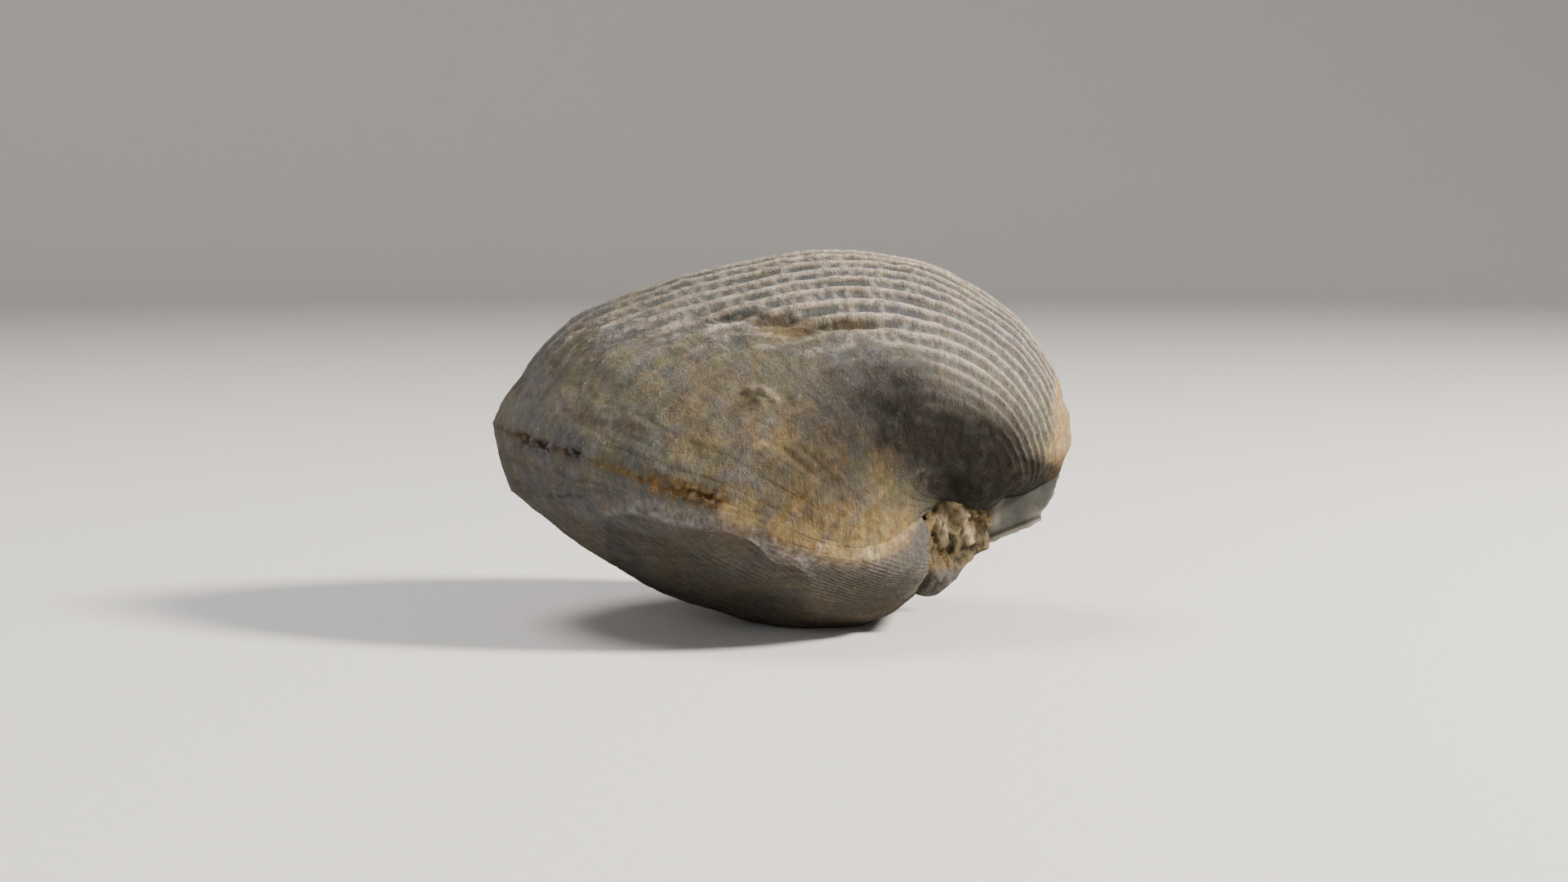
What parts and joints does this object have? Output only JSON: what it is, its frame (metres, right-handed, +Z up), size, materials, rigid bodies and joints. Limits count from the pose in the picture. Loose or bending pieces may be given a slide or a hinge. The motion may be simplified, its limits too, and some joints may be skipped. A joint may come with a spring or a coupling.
{
  "type": "fossil brachiopod",
  "caption": "Closed fossil lamp shell with an arched, ribbed upper valve, a beak hooked over its hinge, a shallow lower valve and rock left in the notch, resting on a worn flat.",
  "frame": {"origin": "middle of the box around the fossil, at its base, where the worn flat rests", "axes": "+X towards the hooked beak, along the shell; +Y towards the far flank, which carries the rock slab; +Z up, from the lower valve to the upper valve's crest"},
  "size_m": [0.09, 0.0608, 0.0581],
  "materials": {
    "ribbed_shell": "matt, weathered limestone-filled shell, grey with ochre stains",
    "worn_shell": "matt, worn grey-brown shell",
    "hinge_rock": "rough brown and ochre sediment"
  },
  "bodies": {
    "root": {"pedicle_valve": "ribbed_shell", "brachial_valve": "worn_shell", "hinge_matrix": "hinge_rock"}
  },
  "joints": []
}
